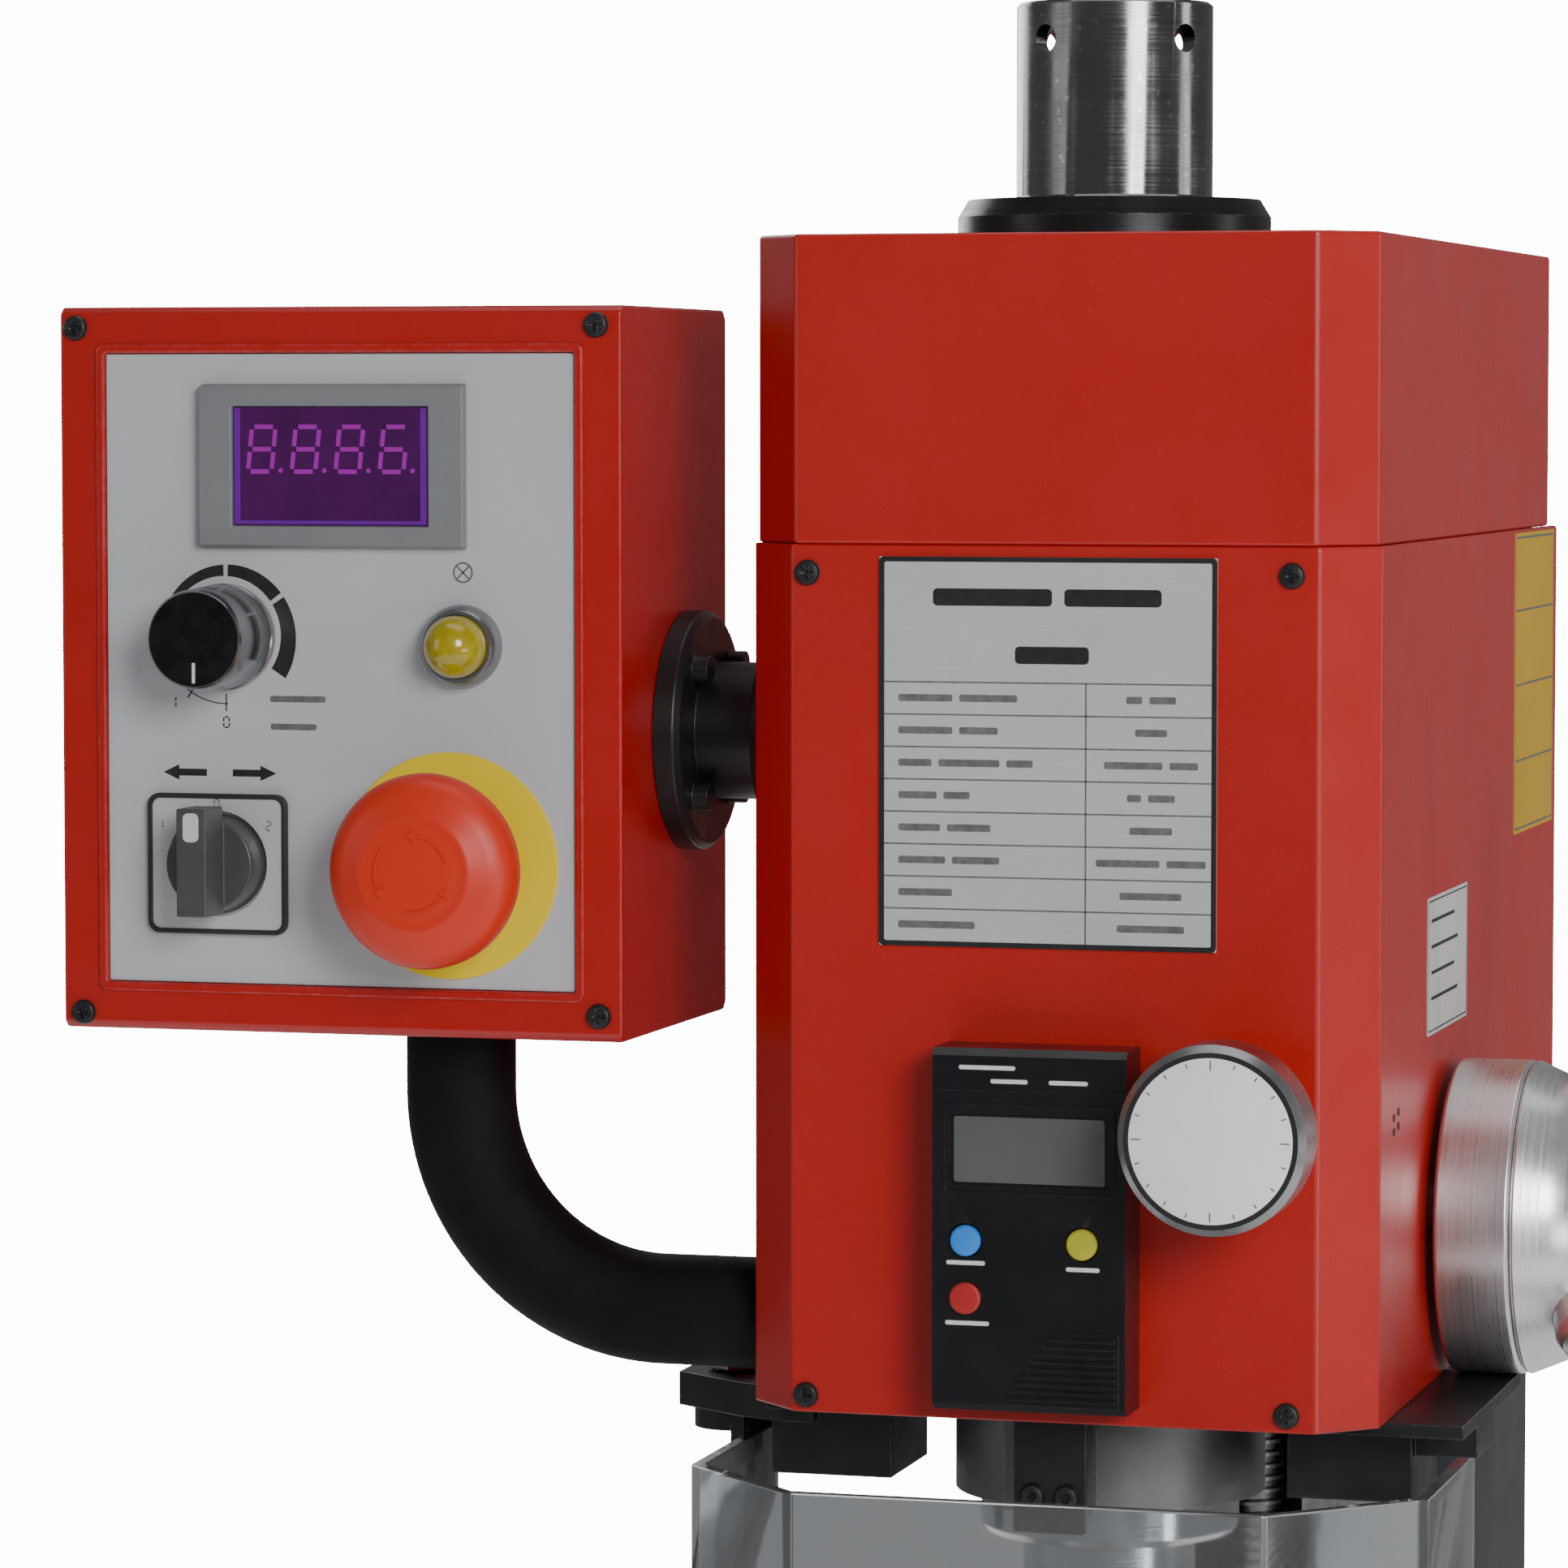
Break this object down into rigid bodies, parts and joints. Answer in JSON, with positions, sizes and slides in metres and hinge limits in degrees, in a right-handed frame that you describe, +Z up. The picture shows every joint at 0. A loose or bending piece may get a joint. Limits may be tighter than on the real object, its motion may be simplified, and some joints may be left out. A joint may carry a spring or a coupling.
{
  "type": "vertical milling machine",
  "caption": "Bench vertical milling machine with a belt-driven head on a dovetail column, a cross-slide table, handwheels, a lever quill feed and a side control box.",
  "frame": {"origin": "centre of the base's four foot bolt holes, on the surface the machine stands on", "axes": "+Z up along the column, +X to the operator's right along the table, +Y to the back"},
  "size_m": [0.783, 0.564, 0.9888],
  "materials": {
    "base_casting": "satin enamel",
    "column": "satin enamel",
    "column_cap": "moulded",
    "column_bolts": "black oxide",
    "y_bearing_block": "machined",
    "z_bearing_block": "machined",
    "saddle": "ground and painted",
    "y_nut": "machined bronze",
    "x_nut": "machined bronze",
    "table_lock": "satin",
    "table": "ground",
    "left_end_bracket": "satin enamel",
    "right_end_bracket": "satin enamel",
    "x_leadscrew": "rolled thread",
    "x_handwheel_left": "polished",
    "x_handwheel_right": "polished",
    "x_handle_left": "moulded",
    "x_handle_right": "moulded",
    "y_leadscrew": "rolled thread",
    "y_handwheel": "polished",
    "y_handle": "moulded",
    "z_crank_shaft": "ground",
    "z_handwheel": "polished",
    "z_handle": "moulded",
    "z_leadscrew": "rolled thread",
    "z_carriage": "painted, ground ways",
    "z_nut": "machined bronze",
    "head_casting": "machined boss",
    "head_housing": "gloss enamel",
    "top_cover": "gloss enamel",
    "spindle_tube": "blackened",
    "motor": "satin",
    "motor_pulley": "turned",
    "drive_belt": "ribbed",
    "drive_sleeve": "turned",
    "quill": "ground",
    "spindle": "ground",
    "drawbar": "black oxide",
    "pinion_shaft": "turned",
    "feed_dial": "satin, graduated",
    "feed_hub": "satin",
    "lever_knobs": "moulded",
    "fine_feed_knob": "turned",
    "spec_plate": "printed",
    "dro_case": "moulded",
    "dro_button_left": "moulded",
    "dro_button_right": "moulded",
    "guard_bracket": "satin",
    "guard": "clear polycarbonate",
    "guard_hinge": "satin",
    "control_box": "gloss enamel",
    "control_panel": "printed film",
    "rpm_display": "moulded",
    "fault_lamp": "translucent lens",
    "speed_knob": "spun cap",
    "selector_handle": "moulded",
    "estop_stem": "moulded",
    "estop_button": "moulded",
    "control_arm": "satin",
    "cable_conduit": "smooth"
  },
  "bodies": {
    "base": {"base_casting": "base_casting", "column": "column", "column_cap": "column_cap", "column_bolts": "column_bolts", "y_bearing_block": "y_bearing_block", "z_bearing_block": "z_bearing_block"},
    "saddle": {"saddle": "saddle", "y_nut": "y_nut", "x_nut": "x_nut"},
    "table_lock": {"table_lock": "table_lock"},
    "table": {"table": "table", "left_end_bracket": "left_end_bracket", "right_end_bracket": "right_end_bracket"},
    "x_screw": {"x_leadscrew": "x_leadscrew", "x_handwheel_left": "x_handwheel_left", "x_handwheel_right": "x_handwheel_right"},
    "x_grip_left": {"x_handle_left": "x_handle_left"},
    "x_grip_right": {"x_handle_right": "x_handle_right"},
    "y_screw": {"y_leadscrew": "y_leadscrew", "y_handwheel": "y_handwheel"},
    "y_grip": {"y_handle": "y_handle"},
    "z_crank": {"z_crank_shaft": "z_crank_shaft", "z_handwheel": "z_handwheel"},
    "z_grip": {"z_handle": "z_handle"},
    "z_screw": {"z_leadscrew": "z_leadscrew"},
    "head": {"z_carriage": "z_carriage", "z_nut": "z_nut", "head_casting": "head_casting", "head_housing": "head_housing", "top_cover": "top_cover", "spindle_tube": "spindle_tube", "motor": "motor", "drive_belt": "drive_belt", "spec_plate": "spec_plate", "dro_case": "dro_case", "guard_bracket": "guard_bracket", "control_box": "control_box", "control_panel": "control_panel", "rpm_display": "rpm_display", "fault_lamp": "fault_lamp", "control_arm": "control_arm", "cable_conduit": "cable_conduit"},
    "rotor": {"motor_pulley": "motor_pulley"},
    "sleeve": {"drive_sleeve": "drive_sleeve"},
    "quill": {"quill": "quill"},
    "spindle": {"spindle": "spindle", "drawbar": "drawbar"},
    "feed": {"pinion_shaft": "pinion_shaft", "feed_dial": "feed_dial", "feed_hub": "feed_hub", "lever_knobs": "lever_knobs"},
    "fine_feed": {"fine_feed_knob": "fine_feed_knob"},
    "guard": {"guard": "guard", "guard_hinge": "guard_hinge"},
    "speed_knob": {"speed_knob": "speed_knob"},
    "selector": {"selector_handle": "selector_handle"},
    "estop_stem": {"estop_stem": "estop_stem"},
    "estop_button": {"estop_button": "estop_button"},
    "dro_left": {"dro_button_left": "dro_button_left"},
    "dro_right": {"dro_button_right": "dro_button_right"}
  },
  "joints": [
    {"name": "y_slide", "type": "slide", "parent": "base", "child": "saddle", "axis": [0, 1, 0], "range_m": [-0.07, 0.07]},
    {"name": "y_crank", "type": "hinge", "parent": "base", "child": "y_screw", "pos_m": [0, -0.242, 0.07], "axis": [0, 1, 0], "range_deg": [-12605, 12605]},
    {"name": "y_grip_spin", "type": "hinge", "parent": "y_screw", "child": "y_grip", "pos_m": [0, -0.3, 0.101], "axis": [0, 1, 0], "continuous": true},
    {"name": "table_lock_turn", "type": "hinge", "parent": "saddle", "child": "table_lock", "pos_m": [0.07, -0.179, 0.136], "axis": [0, 1, 0], "range_deg": [-60, 0]},
    {"name": "x_slide", "type": "slide", "parent": "saddle", "child": "table", "axis": [1, 0, 0], "range_m": [-0.19, 0.19]},
    {"name": "x_crank", "type": "hinge", "parent": "table", "child": "x_screw", "pos_m": [0, -0.11, 0.165], "axis": [1, 0, 0], "range_deg": [-34205, 34205]},
    {"name": "x_grip_left_spin", "type": "hinge", "parent": "x_screw", "child": "x_grip_left", "pos_m": [-0.365, -0.11, 0.196], "axis": [1, 0, 0], "continuous": true},
    {"name": "x_grip_right_spin", "type": "hinge", "parent": "x_screw", "child": "x_grip_right", "pos_m": [0.365, -0.11, 0.196], "axis": [1, 0, 0], "continuous": true},
    {"name": "z_slide", "type": "slide", "parent": "base", "child": "head", "axis": [0, 0, 1], "range_m": [-0.26, 0.01]},
    {"name": "z_crank", "type": "hinge", "parent": "base", "child": "z_crank", "pos_m": [0.09, 0.112, 0.2], "axis": [1, 0, 0], "range_deg": [-46805, 1805]},
    {"name": "z_screw_turn", "type": "hinge", "parent": "base", "child": "z_screw", "pos_m": [0, 0.112, 0.5], "axis": [0, 0, 1], "range_deg": [-46805, 1805]},
    {"name": "z_grip_spin", "type": "hinge", "parent": "z_crank", "child": "z_grip", "pos_m": [0.145, 0.112, 0.231], "axis": [1, 0, 0], "continuous": true},
    {"name": "sleeve_spin", "type": "hinge", "parent": "head", "child": "sleeve", "pos_m": [0, -0.11, 0.85], "axis": [0, 0, 1], "continuous": true},
    {"name": "rotor_spin", "type": "hinge", "parent": "head", "child": "rotor", "pos_m": [0, 0.004, 0.85], "axis": [0, 0, 1], "continuous": true},
    {"name": "quill_slide", "type": "slide", "parent": "head", "child": "quill", "axis": [0, 0, -1], "range_m": [0, 0.06]},
    {"name": "spindle_spin", "type": "hinge", "parent": "quill", "child": "spindle", "pos_m": [0, -0.11, 0.6], "axis": [0, 0, 1], "continuous": true},
    {"name": "quill_feed", "type": "hinge", "parent": "head", "child": "feed", "pos_m": [0.1, -0.058, 0.636], "axis": [1, 0, 0], "range_deg": [0, 230]},
    {"name": "fine_feed", "type": "hinge", "parent": "head", "child": "fine_feed", "pos_m": [0.0545, -0.22, 0.676], "axis": [0, 1, 0], "range_deg": [0, 9170]},
    {"name": "guard_swing", "type": "hinge", "parent": "head", "child": "guard", "pos_m": [-0.112, -0.116, 0.58], "axis": [0, 0, -1], "range_deg": [0, 100]},
    {"name": "speed_turn", "type": "hinge", "parent": "head", "child": "speed_knob", "pos_m": [-0.2444, -0.2, 0.8073], "axis": [0, 1, 0], "range_deg": [0, 270]},
    {"name": "selector_turn", "type": "hinge", "parent": "head", "child": "selector", "pos_m": [-0.2467, -0.2, 0.7419], "axis": [0, 1, 0], "range_deg": [-60, 60]},
    {"name": "estop_press", "type": "slide", "parent": "head", "child": "estop_stem", "axis": [0, 1, 0], "range_m": [0, 0.006]},
    {"name": "estop_twist", "type": "hinge", "parent": "estop_stem", "child": "estop_button", "pos_m": [-0.1765, -0.21, 0.7425], "axis": [0, 1, 0], "range_deg": [0, 30]},
    {"name": "dro_left_press", "type": "slide", "parent": "head", "child": "dro_left", "axis": [0, 1, 0], "range_m": [0, 0.0012], "stiffness_N_per_m": 600},
    {"name": "dro_right_press", "type": "slide", "parent": "head", "child": "dro_right", "axis": [0, 1, 0], "range_m": [0, 0.0012], "stiffness_N_per_m": 600}
  ],
  "couplings": [
    {"joint": "y_crank", "follows": "y_slide", "rad_per_m": 3141.6},
    {"joint": "x_crank", "follows": "x_slide", "rad_per_m": 3141.6},
    {"joint": "z_crank", "follows": "z_slide", "rad_per_m": 3141.6},
    {"joint": "z_screw_turn", "follows": "z_slide", "rad_per_m": 3141.6},
    {"joint": "spindle_spin", "follows": "sleeve_spin", "ratio": 1},
    {"joint": "rotor_spin", "follows": "sleeve_spin", "ratio": 1.9},
    {"joint": "quill_feed", "follows": "quill_slide", "rad_per_m": 66.667},
    {"joint": "fine_feed", "follows": "quill_slide", "rad_per_m": 2666.7}
  ]
}
